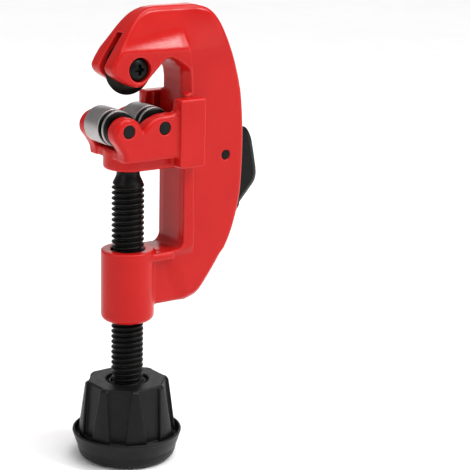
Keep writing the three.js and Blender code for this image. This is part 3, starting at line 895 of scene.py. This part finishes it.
def feed_screw():
    """The tail in the knob, the thread swept round the axis, and the stem with its clip groove."""
    neck_top, groove_low, groove_high = 99.25, 105.15, 106
    head = rounded([(NECK_R, THREAD_HIGH), (NECK_R, neck_top), (STEM_R, neck_top),
                    (STEM_R, groove_low), (CLIP_GROOVE_R, groove_low),
                    (CLIP_GROOVE_R, groove_high), (STEM_R, groove_high), (STEM_R, SCREW_TIP),
                    (0, SCREW_TIP)], 0.2)
    tail = rounded([(0, TAIL_Z), (TAIL_R, TAIL_Z), (TAIL_R, TAIL_SHOULDER),
                    (BLANK_R, TAIL_SHOULDER), (BLANK_R, THREAD_LOW)], 0.3)
    angles = np.linspace(0, 2 * math.pi, THREAD_AROUND, endpoint=False)
    points, rings = [], []

    def ring(radii, z):
        radii = np.broadcast_to(radii, THREAD_AROUND)
        rings.append(list(range(len(points), len(points) + THREAD_AROUND)))
        points.extend(zip(radii * np.cos(angles), radii * np.sin(angles),
                          np.full(THREAD_AROUND, z)))

    for radius, z in tail[1:-1]:
        ring(radius, z)
    for z in np.arange(THREAD_LOW, THREAD_HIGH, PITCH / THREAD_PER_TURN):
        ring(thread_radii(angles, z), z)
    for radius, z in head[:-1]:
        ring(radius, z)
    faces = []
    for lower, upper in zip(rings, rings[1:]):
        for i in range(THREAD_AROUND):
            j = (i + 1) % THREAD_AROUND
            faces.append((lower[i], lower[j], upper[j], upper[i]))
    faces.append(tuple(reversed(rings[0])))
    faces.append(tuple(rings[-1]))
    piece = mesh_object("feed_screw_thread", np.array(points) * MM, faces)
    piece.data.set_sharp_from_angle(angle=THREAD_SHARP_ANGLE)
    return piece


def clip_field(x, y, z):
    """An open ring with two ears, each with the small hole for the pliers."""
    low, high = (corner[2] for corner in node_box("retaining_clip"))
    thickness = slab(z, low, high)
    from_ear = np.sqrt((x - CLIP_EAR_X) ** 2 + (np.abs(y) - CLIP_EAR_Y) ** 2)
    ring = meet(np.abs(np.sqrt(x * x + y * y) - CLIP_R) - CLIP_HALF, thickness, 0.12)
    ears = meet(from_ear - CLIP_EAR_R, thickness, 0.12)
    gap = np.maximum(np.abs(y) - CLIP_GAP_HALF, -x)
    return cut(cut(np.minimum(ring, ears), gap, 0.1), from_ear - CLIP_HOLE_R, 0.08)


# ---- assembly ----
def build():
    dress(cast("frame_casting", frame_field, "frame", voxel=0.38),
          "frame", "frame", "red_paint")
    dress(cast("carriage_casting", carriage_field, "carriage", voxel=0.26),
          "carriage", "carriage", "red_paint")
    dress(cast("knob_moulding", knob_field, "knob", voxel=0.27),
          "feed_screw", "knob", "black_plastic")
    dress(cast("wheel_screw_cross_head", wheel_screw_field, "wheel_screw", voxel=0.11),
          "frame", "wheel_screw", "black_oxide")
    dress(cast("retaining_clip_ring", clip_field, "retaining_clip", voxel=0.1, margin=0.5),
          "feed_screw", "retaining_clip", "bright_steel")
    dress(cast("reamer_blade_ground", blade_field, "reamer_blade", voxel=0.16, margin=0.8),
          "reamer", "reamer_blade", "black_oxide")

    dress(end_cap(), "end_cap", "end_cap", "black_plastic")
    dress(feed_screw(), "feed_screw", "feed_screw", "black_oxide")
    rollers = (("front_roller", -ROLLER_X), ("rear_roller", ROLLER_X))
    for body, x in rollers:
        dress(roller(body + "_turned", x), body, body, "satin_steel")
    for body, x in rollers:
        dress(pin(body + "_axle", PIN_R, PIN_HALF, x, ROLLER_Z),
              "carriage", body + "_pin", "black_oxide")
    dress(pin("reamer_pivot_pin", REAMER_PIN_R, REAMER_PIN_HALF, PIVOT_X, PIVOT_Z),
          "frame", "reamer_pin", "black_oxide")
    dress(wheel("cutter_wheel_ground", ALONG_Y, (0, 0, WHEEL_Z)),
          "cutting_wheel", "cutter_wheel", "tool_steel")
    dress(wheel("spare_wheel_ground", UP, node_centre("spare_wheel")),
          "end_cap", "spare_wheel", "tool_steel")
    washer("wheel_lock_washer", "frame", bore=2.1, axis=ALONG_Y)
    washer("reamer_spring_washer", "frame", bore=1.7, axis=ALONG_Y)
    washer("thrust_washer", "carriage", bore=3.0, axis=UP)
    washer("knob_washer", "feed_screw", bore=3.1, axis=UP)
    dress(knob_nut(), "feed_screw", "knob_nut", "bright_steel")


build()


# ---- camera, floor and light: lengths in metres, angles in degrees ----
CAMERA_AZIMUTH = -36.07
CAMERA_ELEVATION = 14.71
CAMERA_ROLL = 1.29
CAMERA_LENS = 122.75
CAMERA_SENSOR = 36
CAMERA_NEAR = 0.01
CAMERA_AT = (-0.26806, -0.42713, 0.20858)
WORLD_STRENGTH = 0.34
SKY_STRENGTH = 2.4
SKY_SPREAD = 70
SKY_TILT = (18, 14)
CUTTER_MIDDLE = (0.012, 0, 0.085)
STEEP = 0.98
# name, place, width and height, watts; each one faces the cutter's middle
AREA_LIGHTS = [
    ("overhead_softbox", (0.1, -0.05, 0.6), (0.3, 0.3), 0.8),
    ("key_softbox", (0.38, -0.473, 0.67), (0.08, 0.08), 2.1),
    ("side_softbox", (-0.62, -0.12, 0.34), (0.3, 0.3), 1.0),
    ("front_panel", (0.5, -0.7, 0.22), (0.45, 0.3), 0.9),
    ("back_panel", (0.5, 0.7, 0.3), (0.5, 0.3), 0.5),
]
FLOOR_REACH = 12.0
FLOOR_GAP = 0.0001


def place(item, right, top, back, at):
    """Links an object to the scene, looking against back, with right and top on its image."""
    matrix = Matrix.Identity(4)
    for k, column in enumerate((right, top, back)):
        for row in range(3):
            matrix[row][k] = column[row]
    matrix.translation = at
    item.matrix_world = matrix
    bpy.context.scene.collection.objects.link(item)


def place_camera():
    azimuth, elevation, roll = (math.radians(angle) for angle in
                                (CAMERA_AZIMUTH, CAMERA_ELEVATION, CAMERA_ROLL))
    back = np.array([math.sin(azimuth) * math.cos(elevation),
                     -math.cos(azimuth) * math.cos(elevation), math.sin(elevation)])
    level = np.array([math.cos(azimuth), math.sin(azimuth), 0])
    above = np.cross(back, level)
    right = level * math.cos(roll) + above * math.sin(roll)
    data = bpy.data.cameras.new("camera")
    data.sensor_width = CAMERA_SENSOR
    data.lens = CAMERA_LENS
    data.clip_start = CAMERA_NEAR
    camera = bpy.data.objects.new("camera", data)
    place(camera, right, np.cross(back, right), back, CAMERA_AT)
    bpy.context.scene.camera = camera


def area_light(name, at, size, power):
    data = bpy.data.lights.new(name, "AREA")
    data.shape = "RECTANGLE"
    data.size, data.size_y = size
    data.energy = power
    direction = np.array(CUTTER_MIDDLE, float) - np.array(at, float)
    back = -direction / np.linalg.norm(direction)
    # a light from straight above takes its sides from Y instead
    side = np.cross([0, 0, 1] if abs(back[2]) < STEEP else [0, 1, 0], back)
    side /= np.linalg.norm(side)
    place(bpy.data.objects.new(name, data), side, np.cross(back, side), back, at)


def lights():
    world = bpy.data.worlds.new("studio")
    world.use_nodes = True
    background = world.node_tree.nodes["Background"]
    background.inputs["Color"].default_value = (1, 1, 1, 1)
    background.inputs["Strength"].default_value = WORLD_STRENGTH
    bpy.context.scene.world = world
    sky = bpy.data.lights.new("overhead_sky", "SUN")
    sky.energy = SKY_STRENGTH
    sky.angle = math.radians(SKY_SPREAD)
    high = bpy.data.objects.new("overhead_sky", sky)
    high.rotation_euler = (*(math.radians(angle) for angle in SKY_TILT), 0)
    bpy.context.scene.collection.objects.link(high)
    for light in AREA_LIGHTS:
        area_light(*light)


def floor():
    r = FLOOR_REACH
    data = bpy.data.meshes.new("floor")
    data.from_pydata([(-r, -r, 0), (r, -r, 0), (r, r, 0), (-r, r, 0)], [], [(0, 1, 2, 3)])
    n = Nodes("floor_paper")
    tone = n.ramp(n.noise(scale=6, detail=2), (0.96, 0.96, 0.96), (0.98, 0.98, 0.98))
    rough = n.remap(n.noise(scale=40, detail=2), (0.3, 0.7), (0.55, 0.65))
    data.materials.append(n.finish(tone, rough))
    sheet = bpy.data.objects.new("floor", data)
    bpy.context.scene.collection.objects.link(sheet)
    sheet.location.z = float(cad_box[0].z) - FLOOR_GAP


place_camera()
lights()
floor()
bpy.context.scene.view_settings.view_transform = "Standard"
